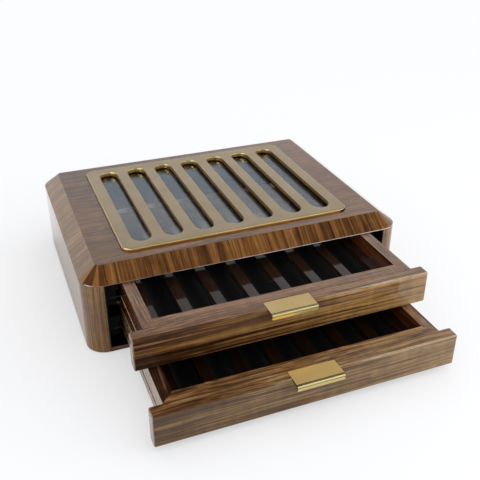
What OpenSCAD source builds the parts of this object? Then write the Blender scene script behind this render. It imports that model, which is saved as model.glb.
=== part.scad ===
/* [Case] */
// Width of the case
case_w = 300; // [285:1:330]
// Depth of the case
case_d = 230; // [220:1:260]
// Height from the table to the flat top
case_h = 80; // [78:0.5:95]
// Thickness of the side boards
side_t = 18; // [16:0.5:20]
// Radius of the four upright corners
corner_r = 18; // [14:0.5:20]
// Thickness of the back board
back_t = 16; // [14:0.5:18]
// Thickness of the bottom board
base_t = 4; // [3:0.5:5]
// Thickness of the felt under the bottom board
felt_t = 1.2; // [0.8:0.1:2]
// How far the felt stays inside the edge of the case
felt_inset = 3; // [2:0.5:8]
// How far the bottom board is let into the sides and back
base_rebate = 6; // [5:0.5:8]

/* [Top board] */
// Thickness of the top board
top_t = 12; // [11:0.5:14]
// Width of the sloping border of the top board, seen from above
bevel_run = 15; // [12:0.5:18]
// Height of the upright edge below the slope
bevel_edge = 0.8; // [0.5:0.1:2]

/* [Window] */
// Width of the brass border to the left and right of the windows
border_w = 11.9; // [10:0.1:16]
// Width of the brass border in front of and behind the windows
border_d = 11; // [9:0.25:14]
// Thickness of the brass window plate
plate_t = 5.25; // [5:0.25:7]
// How far the plate stands above the wood
plate_proud = 2.5; // [1.5:0.25:3]
// Corner radius of the plate
plate_r = 9; // [6:0.5:12]
// Number of windows and pen troughs
pen_count = 7; // [5:1:7]
// Width of a window
slot_w = 18; // [14:0.5:19]
// Length of a window
slot_len = 154; // [140:1:156]
// Thickness of the glass
glass_t = 3; // [2:0.25:3.5]
// How far the glass reaches past the outer windows to the left and right
glass_past_w = 4; // [3.5:0.1:6]
// How far the glass reaches past the windows to the front and back
glass_past_d = 4.5; // [4:0.1:6]
// How far the glass lies on the wooden lip along each edge
glass_lip = 3; // [2:0.25:4]

/* [Drawers] */
// Gap between a drawer front and the side boards
front_gap = 4; // [2:0.25:6]
// Thickness of a drawer front
front_t = 11; // [10:0.5:14]
// Radius of the long front edges of a drawer front
front_ease = 1.5; // [0.8:0.1:3]
// Gap between the upper front and the top board
gap_top = 0.6; // [0.4:0.1:1]
// Gap between the two drawer fronts
gap_middle = 2.6; // [1.5:0.1:4]
// Gap between the lower front and the bottom board
gap_bottom = 0.8; // [0.5:0.1:1.2]
// Thickness of the walls of a drawer box
wall_t = 10; // [9:0.25:11]
// Thickness of a drawer bottom
bottom_t = 4; // [3:0.25:5]
// How far a drawer bottom lies above the underside of the walls
bottom_up = 0.6; // [0.4:0.1:1]
// How far a drawer bottom is let into the walls
bottom_rebate = 5; // [3:0.5:6]
// How far the upper drawer stands open
upper_out = 77.5; // [0:0.5:130]
// How far the lower drawer stands open
lower_out = 125.5; // [0:0.5:138]
// Longest pull of a drawer, from closed to its stops
travel = 140; // [138:1:145]

/* [Pen troughs] */
// How far the tops of the lands lie below the rim
land_drop = 13; // [11:0.5:14]
// Width of the land between two troughs
land_w = 9.6; // [8:0.2:11]
// Width of the land beside the outer troughs
side_land = 9.6; // [8:0.1:14]
// Height of a trough lining at its edges
lining_h = 6; // [5:0.25:7]
// Thickness of a trough lining at its middle
lining_t = 2; // [1.5:0.25:3]
// Radius of the hollow in a trough lining
cove_r = 11; // [10:0.5:16]

/* [Pulls] */
// Width of a pull
pull_w = 39.8; // [34:0.2:44]
// Width of the wood that is left behind a pull
pull_land = 1.4; // [1:0.1:3]
// How far a pull stands out from its drawer front
pull_out = 8.7; // [7:0.1:12]
// Thickness of the sheet that a pull is bent from
pull_t = 1.6; // [1.2:0.1:2]
// Height of the turned-down lip, from the top of the pull
lip_h = 4.9; // [4:0.1:7]
// Width of the bead along the bend
bead_w = 1.8; // [1.2:0.1:2.4]
// Width and depth of the lines behind and below the bead
line_t = 0.5; // [0.3:0.1:0.8]
// Radius of the two studs under a pull
stud_r = 1.5; // [1.2:0.1:2]
// Length of the two studs
stud_len = 8; // [5:0.5:10]
// Distance between the two studs
stud_span = 24; // [16:1:28]

/* [Runners] */
// Thickness of the black lining on the inside of the case
black_t = 1; // [0.6:0.1:1.2]
// Thickness of a runner batten
batten_t = 10; // [9:0.25:10.5]
// Height of a runner batten
batten_h = 14; // [13:0.5:15]
// Gap between a runner batten and the drawer side
batten_gap = 4; // [3:0.25:5]
// Distance from the back end of a runner and its batten to the back lining
batten_end = 6.5; // [3:0.5:12]
// Thickness of a steel runner
runner_t = 1.6; // [1.5:0.1:3]
// How far a runner is let into its batten
runner_in = 5; // [4:0.5:7]
// Depth of the groove in a drawer side
groove_d = 4; // [3:0.25:5]
// Distance from a drawer's rim to the middle of its groove
groove_drop = 19.5; // [17.5:0.25:20]
// Length of a stop block
stop_len = 8; // [5:0.5:12]
// Radius of a stop pin
pin_r = 1.5; // [1.2:0.1:2]
// How far a stop pin stands out from its drawer side
pin_out = 3.4; // [2.5:0.1:4]
// How far a stop pin is let into its drawer side
pin_in = 5; // [4:0.5:7]
// Radius of a closing bumper
bumper_r = 4; // [3:0.5:6]
// Length of a closing bumper
bumper_len = 4.7; // [3:0.1:8]
// Distance from the inside of a drawer side to the middle of its bumper
bumper_in = 20; // [10:1:40]

/* [Fasteners] */
// Radius of a screw's shank
screw_r = 1.5; // [1.2:0.1:1.8]
// Radius of a screw's head
screw_head_r = 2.6; // [2.2:0.1:2.7]
// How deep the screws that hold the window plate reach into it
plate_screw_bite = 2.1; // [1.5:0.1:3]
// Distance from the plate's front and back edges to the outer screws of its sides
plate_screw_end = 28; // [15:1:50]
// Distance from the plate's sides to the screws of its front and back edges
plate_screw_in = 56; // [30:1:70]
// Length of the screws that hold the bottom board
base_screw_len = 14; // [10:0.5:18]
// Distance from the front and back of the case to the outer screws of its sides
side_screw_end = 46; // [30:1:60]
// Distance from the side boards to the screws under the back board
back_screw_in = 72; // [30:1:90]
// Length of the screws that hold the runner battens
batten_screw_len = 20; // [16:0.5:22]
// Distance from the ends of a batten to its screws
batten_screw_end = 39; // [20:1:60]
// Length of the screws that hold the drawer fronts
front_screw_len = 17; // [14:0.5:18]
// Distance from the inside of a drawer side to the outer screws of its front
front_screw_in = 20.6; // [12:0.2:40]
// Radius of a dowel
dowel_r = 2.5; // [2:0.1:3]
// Length of a dowel in the top board and the sides
top_dowel_len = 18; // [14:0.5:20]
// How far a dowel reaches into the top board
top_dowel_up = 5; // [4:0.25:5.5]
// Distance from the outside of the case to the dowels of the top board
top_dowel_in = 10.8; // [9:0.2:12]
// Distance from the front and back of the case to the outer dowels of the top board
top_dowel_end = 39; // [25:1:60]
// Length of a dowel between the back and a side
back_dowel_len = 24; // [18:0.5:26]
// Distance from the ends of a side board to the dowels of the back board
back_dowel_end = 16.7; // [10:0.1:24]

/* [Clearances] */
// Gap between pieces that slide on each other
run_gap = 0.3; // [0.25:0.05:0.5]
// Gap between a runner's edge and the bottom of its groove
groove_gap = 1; // [0.6:0.1:1.5]
// Gap between a stop pin and the batten below it
pin_gap = 1.3; // [0.5:0.1:2]
// Gap between a stop block and the drawer side
stop_gap = 1.3; // [0.8:0.1:1.8]
// Gap round a piece that is let into wood
let_gap = 0.2; // [0.1:0.05:0.4]
// Gap round a screw, stud or dowel in its hole
hole_gap = 0.08; // [0.05:0.01:0.2]
// Gap between a drawer front and the runners when it is closed
shut_gap = 0.5; // [0.4:0.1:1]

/* [Hidden] */
$fn = 48;

walnut = "saddlebrown";
black = "#141414";
brass = "#b49c66";
steel = "silver";
past = 1;
skin = 0.05;

// Levels of the case, from the table up
base_z = felt_t;
floor_z = base_z + base_t;
roof_z = case_h - top_t;
half_w = case_w / 2;
half_d = case_d / 2;
bay_x = half_w - side_t;
bay_back = half_d - back_t;
rebate_front = corner_r - half_d;

// Fronts of the drawers, which share the height between the bottom and the top board
front_w = 2 * (bay_x - front_gap);
front_h = (roof_z - gap_top - gap_middle - gap_bottom - floor_z) / 2;
lower_z = floor_z + gap_bottom;
upper_z = roof_z - gap_top - front_h;

// Room that the linings and battens leave for the drawer boxes
lining_x = bay_x - black_t;
lining_back = bay_back - black_t;
batten_x = lining_x - batten_t;
box_x = batten_x - batten_gap;
box_in_x = box_x - wall_t;
box_y = front_t - half_d;
box_in_y = box_y + wall_t;
box_end = lining_back - bumper_len - run_gap;
box_in_end = box_end - wall_t;

// Levels inside a drawer
panel_z = bottom_up + bottom_t;
land_z = front_h - land_drop;
groove_z = front_h - groove_drop;
groove_h = runner_t + 2 * run_gap;

// The troughs share the width of a drawer, and the windows lie over them
pen_pitch = (2 * box_in_x - 2 * side_land + land_w) / pen_count;
trough_w = pen_pitch - land_w;
windows_w = (pen_count - 1) * pen_pitch + slot_w;
plate_w = windows_w + 2 * border_w;
plate_d = slot_len + 2 * border_d;
glass_w = windows_w + 2 * glass_past_w;
glass_d = slot_len + 2 * glass_past_d;
rebate_z = case_h + plate_proud - plate_t;
glass_z = rebate_z - glass_t;

// Runners and stops
batten_y = box_y + shut_gap;
runner_len = lining_back - batten_end - batten_y;
runner_x = box_x - groove_d + groove_gap;
stop_back = batten_y + stop_len;
pin_y = stop_back + run_gap + pin_r + travel;
pin_up = batten_h / 2 + pin_gap + pin_r;
stop_h = 2 * (pin_gap + pin_r);
bumper_x = box_in_x - bumper_in;
pull_back = front_t - pull_land;

// Places of the screws and dowels
plate_screw_x = (plate_w + glass_w) / 4;
plate_screw_y = (plate_d + glass_d) / 4;
plate_screw_len = rebate_z - roof_z + plate_screw_bite;
plate_side_y = plate_d / 2 - plate_screw_end;
plate_end_x = plate_w / 2 - plate_screw_in;
side_screw_y = half_d - side_screw_end;
back_screw_x = bay_x - back_screw_in;
base_screw_x = bay_x + base_rebate / 2;
base_screw_y = bay_back + base_rebate / 2;
batten_screw_up = (batten_h + runner_t) / 4;
batten_screw_front = batten_y + batten_screw_end;
batten_screw_back = batten_y + runner_len - batten_screw_end;
front_screw_x = box_in_x - front_screw_in;
front_screw_up = (land_z + front_h) / 2;
top_dowel_x = half_w - top_dowel_in;
top_dowel_y = half_d - top_dowel_end;
back_dowel_y = bay_back + back_t / 2;

// Middles of the troughs and of the lands, from left to right
trough_x = [for (i = [0 : pen_count - 1]) (i - (pen_count - 1) / 2) * pen_pitch];
land_x = [for (i = [0 : pen_count - 2]) (i + 1 - pen_count / 2) * pen_pitch];
last_edge = trough_x[pen_count - 1] + trough_w / 2;

// A rectangle with round corners, as a plan
module round_plan(w, d, r) {
  square([w - 2 * r, d], center = true);
  square([w, d - 2 * r], center = true);
  for (x = [-1, 1], y = [-1, 1])
    translate([x * (w / 2 - r), y * (d / 2 - r)])
      circle(r);
}

// A plate with round corners between two heights
module round_plate(w, d, r, z0, z1) {
  translate([0, 0, z0])
    linear_extrude(z1 - z0)
      round_plan(w, d, r);
}

// A block between two corners
module block(low, high) {
  translate(low)
    cube(high - low);
}

// A window's outline: a slot with round ends
module slot_plan(w, len) {
  square([w, len - w], center = true);
  for (y = [-1, 1])
    translate([0, y * (len - w) / 2])
      circle(w / 2);
}

// A countersunk screw whose head is level with z = 0 and whose shank points up
module screw(len, grow = 0) {
  rotate_extrude()
    polygon([[0, 0], [screw_head_r + grow, 0], [screw_r + grow, screw_head_r - screw_r],
      [screw_r + grow, len + grow], [0, len + grow]]);
}

// The hole for such a screw, with its mouth open
module screw_hole(len) {
  screw(len, hole_gap);
  translate([0, 0, -past])
    cylinder(h = past + skin, r = screw_head_r + hole_gap);
}

// Places of the screws, each with its head at the origin and its shank up

module at_plate_screws() {
  for (x = [-1, 1], y = [-1, 0, 1])
    translate([x * plate_screw_x, y * plate_side_y, roof_z])
      children();
  for (x = [-1, 1], y = [-1, 1])
    translate([x * plate_end_x, y * plate_screw_y, roof_z])
      children();
}

module at_base_screws() {
  for (x = [-1, 1], y = [-1, 0, 1])
    translate([x * base_screw_x, y * side_screw_y, base_z])
      children();
  for (x = [-1, 1])
    translate([x * back_screw_x, base_screw_y, base_z])
      children();
}

module at_batten_screws() {
  for (x = [-1, 1], y = [batten_screw_front, batten_screw_back], z = [lower_z, upper_z])
    translate([x * batten_x, y, z + groove_z + batten_screw_up])
      rotate([0, x * 90, 0])
        children();
}

module at_front_screws() {
  for (i = [-1 : 2 / 3 : 1])
    translate([i * front_screw_x, box_in_y, front_screw_up])
      rotate([90, 0, 0])
        children();
}

module at_top_dowels() {
  for (x = [-1, 1], i = [-1 : 2 / 3 : 1])
    translate([x * top_dowel_x, i * top_dowel_y, roof_z + top_dowel_up - top_dowel_len])
      children();
}

module at_back_dowels() {
  for (x = [-1, 1], z = [base_z + back_dowel_end, roof_z - back_dowel_end])
    translate([x * bay_x, back_dowel_y, z])
      rotate([0, 90, 0])
        children();
}

// The case

module case_base() {
  color(walnut)
    difference() {
      union() {
        block([-bay_x, -half_d, base_z], [bay_x, bay_back + base_rebate, floor_z]);
        block([-bay_x - base_rebate, rebate_front, base_z],
          [bay_x + base_rebate, bay_back + base_rebate, floor_z]);
      }
      at_base_screws()
        screw_hole(base_screw_len);
    }
}

module base_felt() {
  color("#20241f")
    round_plate(case_w - 2 * felt_inset, case_d - 2 * felt_inset, corner_r - felt_inset, 0, felt_t);
}

// A side board with its two round corners; side is -1 for the left and 1 for the right
module case_side(side) {
  color(walnut)
    difference() {
      intersection() {
        round_plate(case_w, case_d, corner_r, base_z, roof_z);
        translate([side * (bay_x + case_w / 2), 0, 0])
          cube([case_w, 2 * case_d, 3 * case_h], center = true);
      }
      block([-bay_x - base_rebate, rebate_front, base_z - past],
        [bay_x + base_rebate, bay_back + base_rebate, floor_z]);
      at_base_screws()
        screw_hole(base_screw_len);
      at_batten_screws()
        screw_hole(batten_screw_len);
      at_top_dowels()
        cylinder(h = top_dowel_len, r = dowel_r + hole_gap);
      at_back_dowels()
        cylinder(h = back_dowel_len, r = dowel_r + hole_gap, center = true);
    }
}

module case_back() {
  color(walnut)
    difference() {
      block([-bay_x, bay_back, base_z], [bay_x, half_d, roof_z]);
      block([-bay_x - past, bay_back - past, base_z - past],
        [bay_x + past, bay_back + base_rebate, floor_z]);
      at_base_screws()
        screw_hole(base_screw_len);
      at_back_dowels()
        cylinder(h = back_dowel_len, r = dowel_r + hole_gap, center = true);
    }
}

module case_top() {
  color(walnut)
    difference() {
      hull() {
        round_plate(case_w, case_d, corner_r, roof_z, roof_z + bevel_edge);
        block([bevel_run - half_w, bevel_run - half_d, case_h - skin],
          [half_w - bevel_run, half_d - bevel_run, case_h]);
      }
      round_plate(plate_w + 2 * let_gap, plate_d + 2 * let_gap, plate_r + let_gap,
        rebate_z, case_h + past);
      translate([0, 0, glass_z])
        linear_extrude(past + glass_t)
          square([glass_w + 2 * let_gap, glass_d + 2 * let_gap], center = true);
      translate([0, 0, roof_z - past])
        linear_extrude(case_h)
          square([glass_w - 2 * glass_lip, glass_d - 2 * glass_lip], center = true);
      at_plate_screws()
        screw_hole(plate_screw_len);
      at_top_dowels()
        cylinder(h = top_dowel_len, r = dowel_r + hole_gap);
    }
}

module back_dowels() {
  color("burlywood")
    at_back_dowels()
      cylinder(h = back_dowel_len, r = dowel_r, center = true);
}

module top_dowels() {
  color("burlywood")
    at_top_dowels()
      cylinder(h = top_dowel_len, r = dowel_r);
}

module base_screws() {
  color(steel)
    at_base_screws()
      screw(base_screw_len);
}

// The black lining inside a side board
module side_lining(side) {
  low_x = side > 0 ? lining_x : -bay_x;
  color(black)
    difference() {
      block([low_x, skin - half_d, floor_z], [low_x + black_t, bay_back, roof_z]);
      at_batten_screws()
        screw_hole(batten_screw_len);
    }
}

module back_lining() {
  color(black)
    block([-lining_x, lining_back, floor_z], [lining_x, bay_back, roof_z]);
}

// The window

module window_plate() {
  color(brass)
    difference() {
      round_plate(plate_w, plate_d, plate_r, rebate_z, rebate_z + plate_t);
      for (x = trough_x)
        translate([x, 0, rebate_z - past])
          linear_extrude(plate_t + 2 * past)
            slot_plan(slot_w, slot_len);
      at_plate_screws()
        screw_hole(plate_screw_len);
    }
}

module window_glass() {
  color("lightsteelblue", 0.4)
    block([-glass_w / 2, -glass_d / 2, glass_z], [glass_w / 2, glass_d / 2, rebate_z]);
}

module plate_screws() {
  color(steel)
    at_plate_screws()
      screw(plate_screw_len);
}

// The runners, for a drawer whose underside is at height z

module battens(z) {
  color(black)
    for (side = [0, 1])
      mirror([side, 0, 0])
        difference() {
          translate([batten_x, batten_y, z + groove_z - batten_h / 2])
            cube([batten_t, runner_len, batten_h]);
          translate([batten_x - past, batten_y - past, z + groove_z - runner_t / 2])
            cube([runner_in + past, runner_len + 2 * past, runner_t]);
          at_batten_screws()
            screw_hole(batten_screw_len);
        }
}

module runners(z) {
  color(steel)
    for (side = [0, 1])
      mirror([side, 0, 0])
        translate([runner_x, batten_y, z + groove_z - runner_t / 2])
          cube([batten_x + runner_in - runner_x, runner_len, runner_t]);
}

module batten_screws() {
  color(steel)
    at_batten_screws()
      screw(batten_screw_len);
}

module stop_blocks() {
  color(black)
    for (side = [0, 1], z = [lower_z, upper_z])
      mirror([side, 0, 0])
        block([box_x + stop_gap, batten_y, z + groove_z + batten_h / 2],
          [lining_x, stop_back, z + groove_z + batten_h / 2 + stop_h]);
}

module closing_bumpers() {
  color(black)
    for (x = [-bumper_x, bumper_x], z = [lower_z, upper_z])
      translate([x, box_end + run_gap, z + front_h / 2])
        rotate([-90, 0, 0])
          cylinder(h = bumper_len, r = bumper_r);
}

// The drawers, each part drawn shut with its underside at z = 0

// Puts the parts of a drawer at its height and as far out as it stands
module at_drawer(upper) {
  translate([0, upper ? -upper_out : -lower_out, upper ? upper_z : lower_z])
    children();
}

// The outline of a drawer front from its end, with its two long front edges rounded
module front_profile() {
  translate([front_ease, 0])
    square([front_t - front_ease, front_h]);
  translate([0, front_ease])
    square([front_t, front_h - 2 * front_ease]);
  for (z = [front_ease, front_h - front_ease])
    translate([front_ease, z])
      circle(front_ease);
}

module at_studs() {
  for (x = [-1, 1])
    translate([x * stud_span / 2, pull_back / 2 - half_d, front_h - pull_t - stud_len])
      children();
}

module drawer_front() {
  color(walnut)
    difference() {
      translate([-front_w / 2, -half_d, 0])
        rotate([90, 0, 90])
          linear_extrude(front_w)
            front_profile();
      block([-pull_w / 2 - let_gap, -half_d - past, front_h - pull_t],
        [pull_w / 2 + let_gap, pull_back + let_gap - half_d, front_h + past]);
      at_studs()
        cylinder(h = stud_len + past, r = stud_r + hole_gap);
      at_front_screws()
        screw_hole(front_screw_len);
    }
}

module drawer_pull() {
  front_y = -half_d - pull_out;
  color(brass) {
    difference() {
      union() {
        block([-pull_w / 2, front_y, front_h - pull_t], [pull_w / 2, pull_back - half_d, front_h]);
        block([-pull_w / 2, front_y, front_h - lip_h],
          [pull_w / 2, front_y + pull_t, front_h - pull_t / 2]);
      }
      block([-pull_w / 2 - past, front_y + bead_w, front_h - line_t],
        [pull_w / 2 + past, front_y + bead_w + line_t, front_h + past]);
      block([-pull_w / 2 - past, front_y - past, front_h - bead_w - line_t],
        [pull_w / 2 + past, front_y + line_t, front_h - bead_w]);
    }
    at_studs()
      cylinder(h = stud_len + pull_t / 2, r = stud_r);
  }
}

// The space beyond a mitre through a box corner, on the side that the turn points to
module mitre_cut(x, y, turn) {
  translate([x, y, -past])
    rotate([0, 0, turn])
      translate([0, -2 * box_x, 0])
        cube([2 * box_x, 4 * box_x, front_h + 2 * past]);
}

// The space below the walls that the drawer bottom fills
module bottom_space() {
  block([-box_in_x - bottom_rebate, box_in_y - bottom_rebate, -past],
    [box_in_x + bottom_rebate, box_in_end + bottom_rebate, panel_z]);
}

// The two grooves along the outside of a drawer box
module grooves() {
  for (side = [0, 1])
    mirror([side, 0, 0])
      block([box_x - groove_d, box_y - past, groove_z - groove_h / 2],
        [box_x + past, box_end + past, groove_z + groove_h / 2]);
}

module box_end_wall(y, front) {
  color(walnut)
    difference() {
      block([-box_x, y, 0], [box_x, y + wall_t, front_h]);
      bottom_space();
      grooves();
      if (front) {
        mitre_cut(box_x, box_y, 45);
        mitre_cut(-box_x, box_y, 135);
        at_front_screws()
          screw_hole(front_screw_len);
      } else {
        mitre_cut(box_x, box_end, -45);
        mitre_cut(-box_x, box_end, 225);
      }
    }
}

module box_side_wall(side) {
  color(walnut)
    mirror([side < 0 ? 1 : 0, 0, 0])
      difference() {
        block([box_in_x, box_y, 0], [box_x, box_end, front_h]);
        bottom_space();
        grooves();
        mitre_cut(box_x, box_y, -135);
        mitre_cut(box_x, box_end, 135);
        at_stop_pin()
          cylinder(h = pin_in + hole_gap + past, r = pin_r + hole_gap);
      }
}

// The inner end of the right-hand stop pin, with the pin pointing outwards
module at_stop_pin() {
  translate([box_x - pin_in, pin_y, groove_z + pin_up])
    rotate([0, 90, 0])
      children();
}

module drawer_bottom() {
  color(walnut)
    block([-box_in_x - bottom_rebate, box_in_y - bottom_rebate, bottom_up],
      [box_in_x + bottom_rebate, box_in_end + bottom_rebate, panel_z]);
}

module lands() {
  color(walnut) {
    for (x = land_x)
      block([x - land_w / 2, box_in_y, panel_z], [x + land_w / 2, box_in_end, land_z]);
    for (side = [0, 1])
      mirror([side, 0, 0])
        block([last_edge, box_in_y, panel_z], [box_in_x, box_in_end, land_z]);
  }
}

module trough_linings() {
  color(black)
    for (x = trough_x)
      translate([x, box_in_y, panel_z])
        rotate([-90, 0, 0])
          linear_extrude(box_in_end - box_in_y)
            difference() {
              translate([-trough_w / 2, -lining_h])
                square([trough_w, lining_h]);
              translate([0, -lining_t - cove_r])
                circle(cove_r);
            }
}

module front_screws() {
  color(steel)
    at_front_screws()
      screw(front_screw_len);
}

module stop_pins() {
  color(brass)
    for (side = [0, 1])
      mirror([side, 0, 0])
        at_stop_pin()
          cylinder(h = pin_in + pin_out, r = pin_r);
}

case_base();
base_felt();
case_side(-1);  // case_side_left
case_side(1);  // case_side_right
case_back();
case_top();
back_dowels();
top_dowels();
base_screws();
side_lining(-1);  // side_lining_left
side_lining(1);  // side_lining_right
back_lining();
window_plate();
window_glass();
plate_screws();
battens(upper_z);  // upper_battens
battens(lower_z);  // lower_battens
runners(upper_z);  // upper_runners
runners(lower_z);  // lower_runners
batten_screws();
stop_blocks();
closing_bumpers();
at_drawer(true) drawer_front();  // upper_front
at_drawer(true) drawer_pull();  // upper_pull
at_drawer(true) box_end_wall(box_y, true);  // upper_box_front
at_drawer(true) box_side_wall(-1);  // upper_box_left
at_drawer(true) box_side_wall(1);  // upper_box_right
at_drawer(true) box_end_wall(box_in_end, false);  // upper_box_back
at_drawer(true) drawer_bottom();  // upper_bottom
at_drawer(true) lands();  // upper_lands
at_drawer(true) trough_linings();  // upper_trough_linings
at_drawer(true) front_screws();  // upper_front_screws
at_drawer(true) stop_pins();  // upper_stop_pins
at_drawer(false) drawer_front();  // lower_front
at_drawer(false) drawer_pull();  // lower_pull
at_drawer(false) box_end_wall(box_y, true);  // lower_box_front
at_drawer(false) box_side_wall(-1);  // lower_box_left
at_drawer(false) box_side_wall(1);  // lower_box_right
at_drawer(false) box_end_wall(box_in_end, false);  // lower_box_back
at_drawer(false) drawer_bottom();  // lower_bottom
at_drawer(false) lands();  // lower_lands
at_drawer(false) trough_linings();  // lower_trough_linings
at_drawer(false) front_screws();  // lower_front_screws
at_drawer(false) stop_pins();  // lower_stop_pins
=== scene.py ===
"""The looks of a walnut display case with two shallow drawers and a brass window plate."""

import math

import bmesh
import bpy
import numpy as np
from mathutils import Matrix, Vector

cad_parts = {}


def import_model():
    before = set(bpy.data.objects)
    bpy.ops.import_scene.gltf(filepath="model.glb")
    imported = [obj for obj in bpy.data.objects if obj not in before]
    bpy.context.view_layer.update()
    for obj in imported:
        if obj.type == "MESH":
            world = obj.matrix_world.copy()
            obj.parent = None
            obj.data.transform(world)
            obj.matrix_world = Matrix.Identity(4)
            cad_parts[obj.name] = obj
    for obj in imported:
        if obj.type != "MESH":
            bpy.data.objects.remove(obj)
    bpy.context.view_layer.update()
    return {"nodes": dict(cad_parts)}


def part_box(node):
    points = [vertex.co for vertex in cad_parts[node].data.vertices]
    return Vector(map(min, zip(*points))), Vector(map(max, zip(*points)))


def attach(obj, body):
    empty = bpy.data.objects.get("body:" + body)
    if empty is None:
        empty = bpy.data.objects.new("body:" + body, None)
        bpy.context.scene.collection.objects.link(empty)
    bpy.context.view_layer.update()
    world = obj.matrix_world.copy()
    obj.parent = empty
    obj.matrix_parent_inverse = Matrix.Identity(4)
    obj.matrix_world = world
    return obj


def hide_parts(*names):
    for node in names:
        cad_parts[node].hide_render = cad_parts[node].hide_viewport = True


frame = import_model()

# Sizes, in mm. The frame is in metres, so every mesh is scaled by MM.
MM = 0.001


def extent(node):
    """The lowest and the highest corner of a CAD node, in mm to a hundredth."""
    return [np.round(np.array(corner) / MM, 2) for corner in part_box(node)]


# The case, the heights where its top board begins and ends, its upright corners, that board's
# upright edge, how far its slope runs in, and the corners of its flat top
low, high = extent("case_top")
CASE_W, CASE_D = high[:2] - low[:2]
ROOF_Z, CASE_H = low[2], high[2]
CORNER_R = 18.0
UPRIGHT = 0.8
SLOPE_RUN, FLAT_R = 15.0, 3.0
# The plate, the heights of its underside and top, its corners, its rounded edge, and how far up
# from the underside its walls are painted darkest and painted in shade
low, high = extent("window_plate")
PLATE_W, PLATE_D = high[:2] - low[:2]
REBATE_Z, PLATE_TOP = low[2], high[2]
PLATE_R = 9.0
PLATE_ROUND = 1.5
FOOT_H, SHADE_H = 0.9, 2.0
# The windows, the depth of the rectangles they lie in, and how far their rounded edge reaches
# past the wall at the sides and the ends, and how deep it goes
PITCH, COUNT = 29.2, 7
SLOT_W, SLOT_LEN = 18.0, 154.0
CELL_D = 162.0
SIDE_ROUND, END_ROUND, WINDOW_DROP = 0.3, 1.2, 1.5
# The glass, the height of its underside, the lip it rests on, and the play round plate, glass
# and pulls
low, high = extent("window_glass")
GLASS_W, GLASS_D = high[:2] - low[:2]
GLASS_Z = low[2]
LIP = 3.0
LET = 0.2
# The rounding of the drawer fronts above and below the face, at the ends and at the back
FACE_ROUND, TIP_ROUND, BACK_ROUND = 1.4, 1.5, 0.6
# The pulls: the sheet, how far it stands out, the lip, the bead, the scored lines, the bend
# outside and inside, and the studs
PULL_T, PULL_OUT = 1.6, 8.7
LIP_H = 4.9
BEAD_W = 1.8
LINE_W, LINE_T = 0.5, 0.5
BEND_OUT, BEND_IN = 0.7, 0.4
STUD_R, STUD_LEN, STUD_SPAN = 1.5, 8.0, 24.0
# Two points this far apart stand for one where a surface steps
HAIR = 0.01

# Steps of a window's round end and of its side, and of the arc of the plate's corners
END_STEPS, SIDE_STEPS = 28, 8
PLATE_ARC = 10
# Steps of the windows' rounded edge, and of the upper and the lower part of the plate's
WINDOW_STEPS = 6
UPPER_STEPS, LOWER_STEPS = 5, 2
# Steps of the arc of other corners, points on the sides between them, and steps of a stud
CORNER_ARC, SIDE_POINTS = 16, 24
STUD_STEPS = 24


# Colours and nodes


def srgb(code):
    """A colour written as sRGB hex, as the linear values that a shader wants."""
    c = [int(code[i : i + 2], 16) / 255 for i in (1, 3, 5)]
    return [x / 12.92 if x <= 0.04045 else ((x + 0.055) / 1.055) ** 2.4 for x in c] + [1]


def add(tree, kind, inputs=None, stops=(), **settings):
    """Adds a node with its settings. An input is a value, or the socket that feeds it, and stops
    are the (place, hex colour or grey value) of a colour ramp."""
    node = tree.nodes.new(kind)
    for name, value in settings.items():
        setattr(node, name, value)
    for name, value in (inputs or {}).items():
        if isinstance(value, bpy.types.NodeSocket):
            tree.links.new(value, node.inputs[name])
        else:
            node.inputs[name].default_value = value
    for _ in stops[2:]:
        node.color_ramp.elements.new(0.5)
    for i, (place, colour) in enumerate(stops):
        node.color_ramp.elements[i].position = place
        shade = srgb(colour) if isinstance(colour, str) else [colour] * 3 + [1]
        node.color_ramp.elements[i].color = shade
    return node


def surface(name):
    """A new material with a single Principled shader."""
    material = bpy.data.materials.new(name)
    material.use_nodes = True
    tree = material.node_tree
    tree.nodes.clear()
    shader = add(tree, "ShaderNodeBsdfPrincipled")
    add(tree, "ShaderNodeOutputMaterial", {"Surface": shader.outputs[0]})
    return material, tree, shader


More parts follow.
